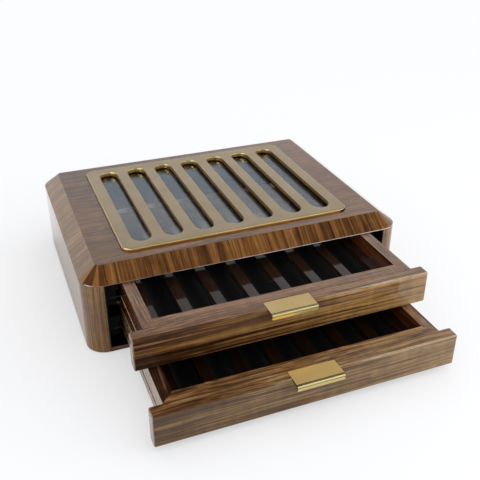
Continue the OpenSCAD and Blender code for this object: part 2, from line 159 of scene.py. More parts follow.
def walnut(name, turn, tones, seed, ring=3.0, ring_share=0.5, streak=1.0, shine=1.0, uv=False,
           marks=0.72, painted_light_to_right=0.0, bend=16.0, length=1.0):
    """American walnut veneer, sliced and sanded, under a polished clear lacquer.

    The eye sees long straight grain with dark rings, fine dark streaks and short open pores,
    faint bright ripples across the grain, partly real figure and partly a painted sheen, and a
    mirror-like skin over all of it.
    turn is the pattern's turn in degrees about X, Y and Z that lays the grain along the piece,
    tones are the darkest, dark, middle and light colour of the wood, and seed moves the pattern
    to another place in the tree. ring and streak are the widths in mm of the wide and the fine
    grain, and ring_share is the wide grain's part in the colour. shine is the weight of the
    lacquer, and uv lays the pattern on the piece's own map. marks is the shade of the dark
    lines. painted_light_to_right is painted light: how far the wood moves up its tones per metre
    to the right, as if more light fell there, where 0.1 is about one tone. bend is how many mm
    the grain wanders, and length how much longer than usual its streaks are.
    """
    material, tree, shader = surface(name)
    place = add(tree, "ShaderNodeTexCoord").outputs["UV" if uv else "Object"]
    mm = add(tree, "ShaderNodeMapping", {
        "Vector": place,
        "Rotation": [math.radians(a) for a in turn],
        "Scale": (1000, 1000, 1000),
        "Location": (seed * 371.0, seed * 53.0, seed * 29.0),
    }).outputs[0]

    def grain(size, detail, rough=0.5, source=mm):
        """A pattern whose grains are size long, in mm along, across and through the board."""
        squeezed = add(tree, "ShaderNodeVectorMath", {0: source, 1: [1 / s for s in size]},
                       operation="MULTIPLY").outputs[0]
        return add(tree, "ShaderNodeTexNoise", {
            "Vector": squeezed, "Scale": 1.0, "Detail": detail, "Roughness": rough,
        }).outputs

    # slow bends that make the grain lines wander by a few mm
    wander = grain((150, 34, 34), 2.0)["Color"]
    shift = add(tree, "ShaderNodeVectorMath", {0: wander, 1: (0.5, 0.5, 0.5)},
                operation="SUBTRACT").outputs[0]
    shift = add(tree, "ShaderNodeVectorMath", {0: shift, 1: (0, bend, bend)},
                operation="MULTIPLY").outputs[0]
    bent = add(tree, "ShaderNodeVectorMath", {0: mm, 1: shift}, operation="ADD").outputs[0]

    rings = grain((240 * length, ring, ring), 2.0, 0.5, bent)["Fac"]
    streaks = grain((55 * length, streak, streak), 2.0, 0.6, bent)["Fac"]
    both = add(tree, "ShaderNodeMix", {0: ring_share, 2: streaks, 3: rings}).outputs[0]
    # painted light: the wood moves up its tones towards the right, as if more light fell there
    painted_light_drift = add(tree, "ShaderNodeVectorMath", {0: place, 1: (painted_light_to_right, 0, 0)},
                operation="DOT_PRODUCT").outputs["Value"]
    both = add(tree, "ShaderNodeMath", {0: both, 1: painted_light_drift}, operation="ADD").outputs[0]
    colour = add(tree, "ShaderNodeValToRGB", {"Fac": both},
                 stops=list(zip((0.36, 0.45, 0.53, 0.64), tones))).outputs[0]

    # Each shade in turn darkens or lightens the wood: mineral lines 1.1 mm wide and some 58 mm
    # long, pores as dashes of 8 by 0.7 mm, which is coarser than real ones so that they show,
    # slow clouds along the board, and the ripple that crosses the grain, partly real figure and
    # partly a painted sheen of the light that meets it
    lines = grain((58 * length, 1.1, 1.1), 2.0, 0.5, bent)["Fac"]
    dashes = grain((8, 0.7, 0.7), 1.0, 0.5, bent)["Fac"]
    clouds = grain((70, 26, 26), 2.0)["Fac"]
    ripple = grain((6, 17, 17), 2.0)["Fac"]
    for pattern, stops in (
        (lines, [(0.30, marks), (0.42, 1.0)]),
        (dashes, [(0.30, 0.66), (0.40, 1.0)]),
        (clouds, [(0.3, 0.88), (0.7, 1.12)]),
        (ripple, [(0.3, 0.86), (0.7, 1.14)]),
    ):
        shade = add(tree, "ShaderNodeValToRGB", {"Fac": pattern}, stops=stops).outputs[0]
        colour = add(tree, "ShaderNodeMix", {0: 1.0, 6: colour, 7: shade}, data_type="RGBA",
                     blend_type="MULTIPLY").outputs[2]
    tree.links.new(colour, shader.inputs["Base Color"])

    bump = add(tree, "ShaderNodeBump", {"Height": dashes, "Strength": 0.04, "Distance": 0.0002})
    tree.links.new(bump.outputs[0], shader.inputs["Normal"])
    shader.inputs["Roughness"].default_value = 0.42
    shader.inputs["Specular IOR Level"].default_value = 0.1
    shader.inputs["Coat Weight"].default_value = shine
    shader.inputs["Coat Roughness"].default_value = 0.035
    shader.inputs["Coat IOR"].default_value = 1.5
    return material


def brass(name, colours, rough, stretch, depth=0.05, metal=1.0):
    """Brass, rolled or turned, and then brushed or polished.

    The eye sees a soft shine in streaks along the brushing, and slow clouds between two colours.
    stretch is how long the brushed lines are in mm along X, Y and Z, and a width of 0.5 mm or
    more is coarser than real ones, so that they show. rough is the roughness round which they
    vary, and depth how much they catch the light. metal is the share that mirrors; where it is
    under 1, more of the colour shows, which lets some finishes carry painted light and painted
    shade in their colour.
    """
    material, tree, shader = surface(name)
    place = add(tree, "ShaderNodeTexCoord").outputs["Object"]
    squeezed = add(tree, "ShaderNodeVectorMath", {0: place, 1: [1000 / s for s in stretch]},
                   operation="MULTIPLY").outputs[0]
    lines = add(tree, "ShaderNodeTexNoise", {
        "Vector": squeezed, "Scale": 1.0, "Detail": 3.0, "Roughness": 0.6,
    }).outputs["Fac"]
    # the clouds are some 22 mm wide
    cloud = add(tree, "ShaderNodeTexNoise", {"Vector": place, "Scale": 45.0, "Detail": 2.0})
    tint = add(tree, "ShaderNodeValToRGB", {"Fac": cloud.outputs["Fac"]},
               stops=list(zip((0.3, 0.7), colours))).outputs[0]
    tree.links.new(tint, shader.inputs["Base Color"])
    spread = add(tree, "ShaderNodeMapRange", {
        "Value": lines, "To Min": rough - 0.06, "To Max": rough + 0.06,
    }).outputs[0]
    tree.links.new(spread, shader.inputs["Roughness"])
    bump = add(tree, "ShaderNodeBump", {"Height": lines, "Strength": depth, "Distance": 0.0001})
    tree.links.new(bump.outputs[0], shader.inputs["Normal"])
    shader.inputs["Metallic"].default_value = metal
    return material


def speckled(name, colours, grain, rough, relief, metallic=0.0, specular=0.5, sheen=0.0):
    """A plain finish between two colours, with unevenness of a grain in mm and its relief. Real
    pile and grit are finer, so the grain is as coarse as it has to be to show."""
    material, tree, shader = surface(name)
    place = add(tree, "ShaderNodeTexCoord").outputs["Object"]
    noise = add(tree, "ShaderNodeTexNoise", {
        "Vector": place, "Scale": 1000 / grain, "Detail": 3.0, "Roughness": 0.6,
    }).outputs["Fac"]
    tint = add(tree, "ShaderNodeValToRGB", {"Fac": noise},
               stops=list(zip((0.3, 0.7), colours))).outputs[0]
    tree.links.new(tint, shader.inputs["Base Color"])
    bump = add(tree, "ShaderNodeBump", {"Height": noise, "Strength": relief, "Distance": 0.0003})
    tree.links.new(bump.outputs[0], shader.inputs["Normal"])
    shader.inputs["Roughness"].default_value = rough
    shader.inputs["Metallic"].default_value = metallic
    shader.inputs["Specular IOR Level"].default_value = specular
    shader.inputs["Sheen Weight"].default_value = sheen
    return material


def float_glass():
    """Float glass, 3 mm thick: clear and smooth, so that the eye sees the dark drawer through it
    and the sky behind the case mirrored on it. Its faint tint changes over some 70 mm."""
    material, tree, shader = surface("float_glass")
    place = add(tree, "ShaderNodeTexCoord").outputs["Object"]
    haze = add(tree, "ShaderNodeTexNoise", {"Vector": place, "Scale": 14.0, "Detail": 2.0})
    tint = add(tree, "ShaderNodeValToRGB", {"Fac": haze.outputs["Fac"]},
               stops=[(0.3, "#f4f8f7"), (0.7, "#fbfdfc")]).outputs[0]
    tree.links.new(tint, shader.inputs["Base Color"])
    shader.inputs["Roughness"].default_value = 0.0
    shader.inputs["IOR"].default_value = 1.5
    shader.inputs["Specular Tint"].default_value = srgb("#dcecff")
    shader.inputs["Transmission Weight"].default_value = 1.0
    return material


ALONG_X, ALONG_Y, ALONG_Z = (0, 0, 0), (0, 0, 90), (0, 90, 0)
# The tones of each board, darkest first. They differ because no two veneers are cut from the
# same place, and some carry painted light or painted shade as well, as said where they are used
TOP_TONES = ("#41260e", "#5a3817", "#6f4820", "#80572c")
SLOPE_PAINTED_LIGHT_TONES = ("#563c22", "#725535", "#886845", "#9f7e5a")
BAND_TONES = ("#3b200a", "#583512", "#744b22", "#8a5f31")
POST_TONES = ("#42270a", "#633f18", "#7e5927", "#946d38")
UPPER_TONES = ("#25140a", "#503116", "#825d35", "#a3814f")
LOWER_TONES = ("#3d270e", "#563a1c", "#705631", "#8f7251")
FACE_ARRIS_HIGHLIGHT_TONES = ("#4a3019", "#60452b", "#836a4c", "#a8947a")
UNDERSIDE_ARRIS_HIGHLIGHT_TONES = ("#5a4230", "#85705d", "#b7a797", "#d8cfc6")
UPPER_RIM_TONES = ("#472b19", "#664528", "#7c583c", "#8f6c4c")
LOWER_RIM_TONES = ("#3a200e", "#5c3b1c", "#7d5a35", "#a08058")
SHADED_RIM_TONES = ("#1d0e05", "#3c210f", "#6b4930", "#8d6c4e")
WALL_TONES = ("#2a1209", "#421f0e", "#5a2f17", "#6f4021")
OUTSIDE_TONES = ("#6f5138", "#8c6b4b", "#a07f5d", "#b3936f")
END_TONES = ("#5a4636", "#75614f", "#8c7868", "#9d8a7b")
SHOULDER_HIGHLIGHT_TONES = ("#e6cfa2", "#efdcb4", "#f6e8c8", "#fbf2da")
LAND_TONES = ("#1b0f0a", "#25160f", "#2f1d15", "#38241b")
SHADED_LAND_TONES = ("#0d0502", "#150904", "#1d0d06", "#261209")

FINISH = {
    # the flat top has the calmest figure and grows lighter to the right as painted light, the
    # border in front is laid across so that its grain runs up the slope, and the slopes at the
    # sides and back are painted lighter, painted light that stands for more light falling on them
    "top": walnut("walnut_top_veneer", ALONG_X, TOP_TONES, 1, ring=6.0, ring_share=0.3,
                  streak=0.7, marks=0.62, painted_light_to_right=0.3),
    "band": walnut("walnut_cross_banding", ALONG_Y, BAND_TONES, 2, ring=5.0, ring_share=0.65,
                   streak=1.4, marks=0.8, uv=True),
    "slope": walnut("walnut_side_slope_painted_light", ALONG_Y, SLOPE_PAINTED_LIGHT_TONES, 3, ring=2.4, ring_share=0.3,
                    streak=0.6, marks=0.6, uv=True),
    # the arris under the front border, painted pale and lighter to the right, a painted highlight
    "low_arris": walnut("walnut_low_arris_painted_highlight", ALONG_X, UNDERSIDE_ARRIS_HIGHLIGHT_TONES, 20, marks=0.9, painted_light_to_right=1.2),
    # side boards with upright grain in fine long lines, the edge under them in the shaded tones and
    # lighter to the right, painted shade under the drawers and painted light, and the back
    "post": walnut("walnut_side_veneer", ALONG_Z, POST_TONES, 4, ring=2.2, ring_share=0.45,
                   marks=0.82, bend=7.0, length=1.5),
    "base": walnut("walnut_base_edge_painted_shade", ALONG_X, SHADED_RIM_TONES, 21, ring=4.0, ring_share=0.4,
                   painted_light_to_right=0.5),
    "back": walnut("walnut_back_board", ALONG_X, POST_TONES, 5, ring=5.0),
    # drawer fronts with almost straight lines from end to end, darker at the left and lighter to
    # the right, painted light as if more light fell from the right
    "upper_front": walnut("walnut_upper_front", ALONG_X, UPPER_TONES, 6, ring=2.6,
                          ring_share=0.55, streak=1.2, marks=0.68, painted_light_to_right=0.85, bend=5.0,
                          length=1.5),
    "lower_front": walnut("walnut_lower_front", ALONG_X, LOWER_TONES, 7.3, ring=2.6,
                          ring_share=0.45, streak=1.2, shine=0.7, marks=0.7, painted_light_to_right=0.75,
                          bend=5.0, length=1.5),
    # the arris over the face, pale and lighter to the right, a painted highlight, and without
    # the lacquer's coat so that it doesn't mirror
    "arris": walnut("walnut_arris_painted_highlight", ALONG_X, FACE_ARRIS_HIGHLIGHT_TONES, 18, shine=0.0, marks=0.9,
                    painted_light_to_right=1.6),
    # the tops of the drawer walls, in other tones for each drawer; the lower drawer's grow lighter
    # to the right as painted light, and its side rims take the shaded tones as painted shade
    "upper_rim_x": walnut("walnut_upper_end_rims", ALONG_X, UPPER_RIM_TONES, 8, ring=4.0,
                          ring_share=0.4, marks=0.82),
    "upper_rim_y": walnut("walnut_upper_side_rims", ALONG_Y, UPPER_RIM_TONES, 9, ring=4.0,
                          ring_share=0.4, marks=0.86),
    "lower_rim_x": walnut("walnut_lower_end_rims", ALONG_X, LOWER_RIM_TONES, 14, ring=4.0,
                          ring_share=0.4, painted_light_to_right=0.45),
    "lower_rim_y": walnut("walnut_lower_side_rims_painted_shade", ALONG_Y, SHADED_RIM_TONES, 15, ring=4.0,
                          ring_share=0.4, painted_light_to_right=0.8),
    # the faces of those walls are red-brown, the ends of the fronts greyer, and the outsides of
    # the lower drawer lighter; the upper drawer's outsides keep the dark wall colour as painted
    # shade
    "wall_x": walnut("walnut_drawer_ends", ALONG_X, WALL_TONES, 10, ring=4.0),
    "wall_y": walnut("walnut_drawer_sides", ALONG_Y, WALL_TONES, 11, ring=4.0),
    "front_end": walnut("walnut_front_ends", ALONG_Z, END_TONES, 19, ring=4.0, ring_share=0.4,
                        marks=0.9),
    "outside": walnut("walnut_drawer_outsides", ALONG_Y, OUTSIDE_TONES, 16, ring=4.0,
                      ring_share=0.4),
    # the groove's lower shoulder, cream and without the lacquer's coat, a painted highlight that
    # shows as a bright streak in the shade
    "shoulder": walnut("groove_shoulder_painted_highlight", ALONG_Y, SHOULDER_HIGHLIGHT_TONES, 13, shine=0.0),
    # lands stained dark before the lacquer, so that mainly their shine shows; the lower drawer's
    # are darker still, painted shade under the upper drawer
    "upper_land": walnut("dark_stained_lands", ALONG_Y, LAND_TONES, 12, ring=4.0, shine=0.75),
    "lower_land": walnut("stained_lands_painted_shade", ALONG_Y, SHADED_LAND_TONES, 17, ring=4.0,
                         shine=0.6),
    # the plate is brushed from side to side and satin; the walls of its windows are painted lighter
    # at the ends as painted light, pale at the arris of the ends as a painted highlight, and brown
    # at the sides as painted shade
    "plate": brass("satin_brass_plate", ("#b8a486", "#c2ae90"), 0.4, (30, 0.5, 30)),
    "window_end": brass("window_ends_painted_light", ("#a08048", "#ae8d53"), 0.4, (1.5, 1.5, 30),
                        metal=0.45),
    "window_arris": brass("window_arris_painted_highlight", ("#ab9c6c", "#b9ab7a"), 0.42, (1.5, 1.5, 30),
                          metal=0.5),
    "window_side": brass("window_sides_painted_shade", ("#85602c", "#957037"), 0.4, (30, 1.5, 1.5),
                         metal=0.45),
    # scored lines, dull and darker than the sheet
    "score": brass("dull_brass_lines", ("#5a4a26", "#68572f"), 0.5, (24, 1.5, 1.5)),
    # the foot of the plate's walls, warm on the left and front as a painted reflection of the wood,
    # and near black elsewhere as painted shade
    "foot_painted_reflection": brass("brass_foot_painted_reflection", ("#8a5a22", "#98662b"), 0.4, (30, 1.5, 30), metal=0.4),
    "foot_painted_shade": brass("brass_foot_painted_shade", ("#1d160a", "#271e0f"), 0.5, (30, 1.5, 1.5)),
    # the plate's front edge, rubbed bright
    "edge": brass("polished_brass_edge", ("#b29a68", "#bea573"), 0.46, (30, 1.5, 30), metal=0.6),
    # the pulls are brushed along their width, and their bead and lip polished; the lower one is
    # smoother and mirrors less, so that more of its colour shows, painted light against the shade
    # of the upper drawer over it
    "pull": brass("brushed_brass_pull", ("#ecc888", "#f4d395"), 0.3, (24, 0.6, 0.6)),
    "lower_pull_painted_light": brass("brushed_brass_lower_pull_painted_light", ("#d8b36e", "#e2bd79"), 0.15, (24, 0.6, 0.6),
                         metal=0.5),
    "bead": brass("polished_brass_bead", ("#cdbc83", "#d6c68f"), 0.3, (24, 1.5, 1.5), depth=0.02),
    "lip": brass("polished_brass_lip", ("#c1b278", "#c9ba80"), 0.2, (24, 1.5, 1.5), depth=0.02),
    # turned from rod, with fine rings round its axis
    "pin": brass("turned_brass_pin", ("#b99d62", "#c2a66b"), 0.3, (0.4, 4, 4)),
    # screws of drawn wire, bright grey, and runners of drawn strip, near black, which shine dimly
    "steel": speckled("drawn_steel", ("#a8a9ab", "#bcbdbf"), grain=1.2, rough=0.32, relief=0.05,
                      metallic=1.0),
    "runner": speckled("near_black_steel", ("#2c2d2e", "#3a3b3c"), grain=1.2, rough=0.4,
                       relief=0.05, metallic=1.0),
    # sprayed board inside the case, near black with a weak soft shine
    "lining": speckled("black_lacquered_lining", ("#030303", "#060606"), grain=0.8, rough=0.3,
                       relief=0.05, specular=0.2),
    # planed and stained, so that it disappears in the dark beside the drawers
    "batten": speckled("black_stained_beech", ("#040404", "#080707"), grain=1.5, rough=0.6,
                       relief=0.1, specular=0.15),
    # brushed pile that drinks the light, with a faint sheen at its edges
    "suede": speckled("black_trough_suede", ("#060505", "#0c0a0b"), grain=0.7, rough=0.9,
                      relief=0.5, specular=0.1, sheen=0.05),
    # pressed wool, matt, with a soft sheen
    "felt": speckled("dark_green_felt", ("#1b211c", "#262d27"), grain=0.8, rough=0.95,
                     relief=0.6, specular=0.15, sheen=0.3),
    # moulded, dull black
    "rubber": speckled("black_bumper_rubber", ("#0d0d0e", "#151516"), grain=0.5, rough=0.7,
                       relief=0.2),
    # turned and left bare
    "beech": speckled("beech_dowel", ("#b98f62", "#caa377"), grain=2.0, rough=0.6, relief=0.2),
    "glass": float_glass(),
}


# Meshes


def values(items, name, width=3, kind=float):
    """One property of all the vertices, corners or faces of a mesh, as rows of an array."""
    found = np.empty(len(items) * width, kind)
    items.foreach_get(name, found)
    return found.reshape(-1, width)


def grid_faces(rows, cols):
    """The faces of a grid of points: each joins four neighbours, row by row."""
    corner = np.arange(rows - 1)[:, None] * cols + np.arange(cols - 1)
    return np.stack([corner, corner + 1, corner + cols + 1, corner + cols], -1).reshape(-1, 4)


def make_piece(name, body, points, faces, finishes, finish_of, replaced, angle,
               round_mm=0.0, uv=None):
    """Puts worked-out points and faces into one closed mesh that rides on a body. finish_of
    gives the place in finishes of each face's finish."""
    mesh = bpy.data.meshes.new(name)
    mesh.from_pydata((np.asarray(points, float).reshape(-1, 3) * MM).tolist(), [],
                     [list(f) for f in faces])
    if uv is not None:
        layer = mesh.uv_layers.new(name="along_grain")
        order = values(mesh.loops, "vertex_index", 1, int)[:, 0]
        layer.data.foreach_set("uv", (uv[order] * MM).ravel())
    for finish in finishes:
        mesh.materials.append(FINISH[finish])
    mesh.polygons.foreach_set("material_index", np.asarray(finish_of, int))
    shape = bmesh.new()
    shape.from_mesh(mesh)
    bmesh.ops.remove_doubles(shape, verts=shape.verts, dist=2e-6)
    bmesh.ops.dissolve_degenerate(shape, edges=shape.edges, dist=1e-6)
    bmesh.ops.recalc_face_normals(shape, faces=shape.faces)
    shape.to_mesh(mesh)
    shape.free()
    dress(name, body, mesh, replaced, round_mm, angle)


def dress(name, body, mesh, replaced, round_mm, angle):
    """Makes the object of a mesh, softens its edges sharper than angle degrees by round_mm, and
    lets it ride on its body.

    A shape whose edges are round already gets normals weighted by face area instead, so that
    its flat faces shade flat up to the round.
    """
    mesh.shade_smooth()
    mesh.set_sharp_from_angle(angle=math.radians(angle))
    piece = bpy.data.objects.new(name, mesh)
    bpy.context.scene.collection.objects.link(piece)
    if round_mm:
        soft = piece.modifiers.new("soft_edges", "BEVEL")
        soft.width = round_mm * MM
        soft.segments = 2
        soft.limit_method = "ANGLE"
        soft.angle_limit = math.radians(angle)
        soft.use_clamp_overlap = True
        soft.harden_normals = True
    else:
        flat = piece.modifiers.new("flat_faces", "WEIGHTED_NORMAL")
        flat.keep_sharp = True
    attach(piece, body)
    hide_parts(*replaced)


def merged(node):
    """A CAD node's points and faces with equal points made one and flat faces joined."""
    source = frame["nodes"][node].data
    points, index = np.unique(values(source.vertices, "co").round(7), axis=0,
                              return_inverse=True)
    corners = values(source.loops, "vertex_index", 1, int)[:, 0]
    faces = index.reshape(-1)[corners].reshape(-1, 3)
    whole = (faces != np.roll(faces, 1, axis=1)).all(axis=1)
    mesh = bpy.data.meshes.new(node)
    mesh.from_pydata(points.tolist(), [], faces[whole].tolist())
    shape = bmesh.new()
    shape.from_mesh(mesh)
    bmesh.ops.dissolve_limit(shape, angle_limit=math.radians(0.4), use_dissolve_boundaries=False,
                             verts=shape.verts, edges=shape.edges)
    shape.to_mesh(mesh)
    shape.free()
    return mesh


def soften(node, name, body, finish, round_mm, upper=None, shelf=None, outside=None):
    """A walnut board of the CAD model with its edges sanded round by round_mm. Its highest upward
    faces get the finish upper where one is named, the lower ones shelf, and those that face away
    from the middle of the case outside."""
    mesh = merged(node)
    for one in (finish, upper or finish, shelf or upper or finish, outside or finish):
        mesh.materials.append(FINISH[one])
    highest = values(mesh.vertices, "co")[:, 2].max()
    normal, centre = values(mesh.polygons, "normal"), values(mesh.polygons, "center")
    upward = normal[:, 2] > 0.9
    outward = normal[:, 0] * np.copysign(1, centre[:, 0]) > 0.9
    kinds = [upward & (centre[:, 2] > highest - MM), upward, outward]
    mesh.polygons.foreach_set("material_index", np.select(kinds, [1, 2, 3], 0))
    dress(name, body, mesh, (node,), round_mm, angle=35)


def paint(node, finish):
    """Gives a CAD node that stays as it is its finish."""
    mesh = frame["nodes"][node].data
    mesh.materials.clear()
    mesh.materials.append(FINISH[finish])


# Top board


def round_loop(w, d, r, z, across=SIDE_POINTS, down=SIDE_POINTS, arc=CORNER_ARC):
    """The outline of a w by d rectangle with corner radius r, at height z.

    It runs round as four arcs centre + r (cos a, sin a) of arc steps, each followed by the
    points on the straight side to the next arc, across of them on a side along X and down on
    one along Y. It starts and ends at the back right arc.
    """
    centre = np.array([[1, 1], [-1, 1], [-1, -1], [1, -1]]) * [w / 2 - r, d / 2 - r]
    a = np.radians([0, 90, 180, 270])[:, None] + np.linspace(0, math.pi / 2, arc + 1)
    arcs = centre[:, None] + r * np.stack([np.cos(a), np.sin(a)], -1)
    ring = []
    for i, n in enumerate((across, down, across, down)):
        t = (np.arange(1, n + 1) / (n + 1))[:, None]
        start, end = arcs[i, -1], arcs[(i + 1) % 4, 0]
        ring += [arcs[i], start + (end - start) * t]
    ring = np.vstack(ring + [arcs[0, :1]])
    return np.column_stack([ring, np.full(len(ring), z)])


def softened(loops, at, before, after, steps):
    """Swaps loop at for a curve that rounds the edge it makes. It runs from before mm ahead of
    the edge to after mm past it, on (1 - t)^2 first + 2 t (1 - t) edge + t^2 last."""
    edge = loops[at]
    ends = []
    for other, reach in ((loops[at - 1], before), (loops[(at + 1) % len(loops)], after)):
        away = other - edge
        length = np.linalg.norm(away, axis=1, keepdims=True)
        ends.append(edge + away / np.maximum(length, 1e-9) * np.minimum(reach, length * 0.5))
    t = np.linspace(0, 1, steps + 1)[:, None, None]
    curve = (1 - t) ** 2 * ends[0] + 2 * t * (1 - t) * edge + t**2 * ends[1]
    return loops[:at] + list(curve) + loops[at + 1 :]


def top_board():
    """The top board as loops round its axis: its underside, upright edge, slope, flat top, the
    recess of the plate, the recess of the glass and the opening, back to the underside."""
    w, d = CASE_W, CASE_D
    loops = [
        round_loop(GLASS_W - 2 * LIP, GLASS_D - 2 * LIP, 0, ROOF_Z),
        round_loop(w, d, CORNER_R, ROOF_Z),
        round_loop(w, d, CORNER_R, ROOF_Z + UPRIGHT),
        round_loop(w - 2 * SLOPE_RUN, d - 2 * SLOPE_RUN, FLAT_R, CASE_H),
        round_loop(PLATE_W + 2 * LET, PLATE_D + 2 * LET, PLATE_R + LET, CASE_H),
        round_loop(PLATE_W + 2 * LET, PLATE_D + 2 * LET, PLATE_R + LET, REBATE_Z),
        round_loop(GLASS_W + 2 * LET, GLASS_D + 2 * LET, 0, REBATE_Z),
        round_loop(GLASS_W + 2 * LET, GLASS_D + 2 * LET, 0, GLASS_Z),
        round_loop(GLASS_W - 2 * LIP, GLASS_D - 2 * LIP, 0, GLASS_Z),
    ]
    loops.append(loops[0])
    rim = loops[2]
    # the last one first, so that the others keep their places: the edges of the recess, of the
    # flat top, of the rim and of the underside
    for at, before, after, steps in (
        (4, 0.25, 0.25, 2), (3, 0.45, 0.45, 2), (2, 0.4, 1.6, 4), (1, 0.8, 0.3, 2),
    ):
        loops = softened(loops, at, before, after, steps)
    points = np.stack(loops)
    rows, cols = points.shape[:2]
    # the pattern lies square to the sides: u is the way round the rim, v the climb from it
    around = np.concatenate([[0], np.cumsum(np.linalg.norm(np.diff(rim, axis=0), axis=1))])
    tangent = np.gradient(rim, axis=0)
    tangent /= np.linalg.norm(tangent, axis=1, keepdims=True)
    aside = ((points - rim) * tangent).sum(-1)
    climb = np.clip((points[..., 2] - rim[0, 2]) / (CASE_H - rim[0, 2]), 0, 1)
    uv = np.stack([around + aside, climb * SLOPE_RUN], -1)
    # the front reaches round its two corners, but for the outermost two steps of each
    quarter = CORNER_ARC + 1 + SIDE_POINTS
    front = np.zeros(cols - 1, bool)
    front[2 * quarter + 2 : 3 * quarter + CORNER_ARC - 2] = True
    # rows 0 to 2 are the underside and its arris, 3 the upright edge, 4 to 7 its arris, 8 the
    # slope, 9 and 10 the upper arris, and the last two the lip under the glass and the opening
    flat, band, slope, lining, low_arris = range(5)
    finish = np.full((rows - 1, cols - 1), flat)
    # painted light: the front's lower arris is a pale painted highlight, other slopes painted
    # lighter
    finish[1:5] = np.where(front, low_arris, slope)
    finish[5:10] = np.where(front, band, slope)
    finish[[0, -2, -1]] = lining
    make_piece("top_board", "case", points, grid_faces(rows, cols),
               ["top", "band", "slope", "lining", "low_arris"], finish.ravel(),
               ["case_top"], angle=24, uv=uv.reshape(-1, 2))


# Window plate


def half_turned(back, left, x, z):
    """A closed outline round the middle x at height z, from its back end and its left side, which
    a half turn makes the front end and the right side."""
    ring = np.vstack([back, left, -back, -left, back[:1]])
    return np.column_stack([ring[:, 0] + x, ring[:, 1], np.full(len(ring), z)])


def slot_loop(x, wide, long, z):
    """A window's outline round the middle x, wide more to each side and long more at each end. An
    end is (0, reach) + ((r + wide) cos a, (r + long) sin a), with the sides straight between."""
    r = SLOT_W / 2
    reach = SLOT_LEN / 2 - r
    a = np.linspace(0, math.pi, END_STEPS + 1)
    side = np.linspace(reach, -reach, SIDE_STEPS + 1)[1:-1]
    back = np.column_stack([(r + wide) * np.cos(a), reach + (r + long) * np.sin(a)])
    left = np.column_stack([np.full(len(side), -r - wide), side])
    return half_turned(back, left, x, z)


def cell_loop(x, z):
    """The rectangle round a window, with as many points on each side as slot_loop has there."""
    w, d = PITCH / 2, CELL_D / 2
    across = np.linspace(w, -w, END_STEPS + 1)
    side = np.linspace(d, -d, SIDE_STEPS + 1)[1:-1]
    back = np.column_stack([across, np.full(len(across), d)])
    left = np.column_stack([np.full(len(side), -w), side])
    return half_turned(back, left, x, z)


def rounded_edge(across, deep, steps):
    """How far in and how far down each loop of a rounded edge lies: across (1 - sin t) and
    deep (1 - cos t), from the flat top to the upright wall."""
    t = np.linspace(0, math.pi / 2, steps + 1)
    return list(zip(across * (1 - np.sin(t)), deep * (1 - np.cos(t))))


def border_loop(w, d, r, z):
    """An outline of the plate's border, with a point for each one of the windows' rectangles."""
    return round_loop(w, d, r, z, COUNT * END_STEPS - 1, SIDE_STEPS - 1, PLATE_ARC)


def plate_loop(grow, z):
    """The plate's outline grown by grow, at height z."""
    return border_loop(PLATE_W + 2 * grow, PLATE_D + 2 * grow, PLATE_R + grow, z)


def window_plate():
    """The brass plate: a ring of faces round each window and one ring round them all, each from
    the flat top over a rounded edge and down its wall to the flat underside. A ring's finishes
    are given row by row, for the back, the left, the front and the right."""
    flat, end, arris, side, foot, edge, reflected_wood = range(7)
    points, faces, finish = [], [], []

    def ring(loops, kinds):
        """Adds the faces between the loops, with one finish or a list of finishes for each row."""
        first = sum(len(p) for p in points)
        rows, cols = len(loops), len(loops[0])
        points.append(np.vstack(loops))
        faces.append(first + grid_faces(rows, cols))
        finish.extend(np.broadcast_to(kind, cols - 1) for kind in kinds)

    low, half_way = REBATE_Z + FOOT_H, REBATE_Z + SHADE_H
    shares = [END_STEPS, SIDE_STEPS] * 2
    # painted light and shade: ends lighter, their arris a pale highlight, sides and low ends darker
    upper = np.repeat([arris, side, arris, side], shares)
    wall = np.repeat([end, side, end, side], shares)
    shade = np.repeat([side, foot, side, foot], shares)
    for i in range(COUNT):
        x = (i - (COUNT - 1) / 2) * PITCH
        loops = [cell_loop(x, PLATE_TOP)]
        for share, down in rounded_edge(1, WINDOW_DROP, WINDOW_STEPS):
            loops.append(slot_loop(x, SIDE_ROUND * share, END_ROUND * share, PLATE_TOP - down))
        loops += [slot_loop(x, 0, 0, z) for z in (half_way, low, REBATE_Z)]
        loops.append(cell_loop(x, REBATE_Z))
        ring(loops, [flat] + [upper] * WINDOW_STEPS + [wall, shade] + [foot] * 2)

    loops = [border_loop(PITCH * COUNT, CELL_D, 0, PLATE_TOP)]
    for inward, down in rounded_edge(PLATE_ROUND, PLATE_ROUND, UPPER_STEPS + LOWER_STEPS):
        loops.append(plate_loop(-inward, PLATE_TOP - down))
    loops += [plate_loop(0, low), plate_loop(0, REBATE_Z),
              border_loop(PITCH * COUNT, CELL_D, 0, REBATE_Z)]
    # the front edge is polished, and it and the left one end in a warm line of painted reflection
    # of the wood, the others in a dark line of painted shade
    shares = [COUNT * END_STEPS + PLATE_ARC, SIDE_STEPS + PLATE_ARC] * 2
    upper = np.repeat([flat, flat, edge, flat], shares)
    lower = np.repeat([foot, end, end, foot], shares)
    wall = np.repeat([foot, reflected_wood, reflected_wood, foot], shares)
    ring(loops, [flat] + [upper] * UPPER_STEPS + [lower] * LOWER_STEPS + [wall] + [foot] * 2)
    make_piece("window_plate_brass", "case", np.vstack(points), np.vstack(faces),
               ["plate", "window_end", "window_arris", "window_side", "foot_painted_shade", "edge",
                "foot_painted_reflection"],
               np.concatenate(finish), ["window_plate"], angle=40)


# Drawers


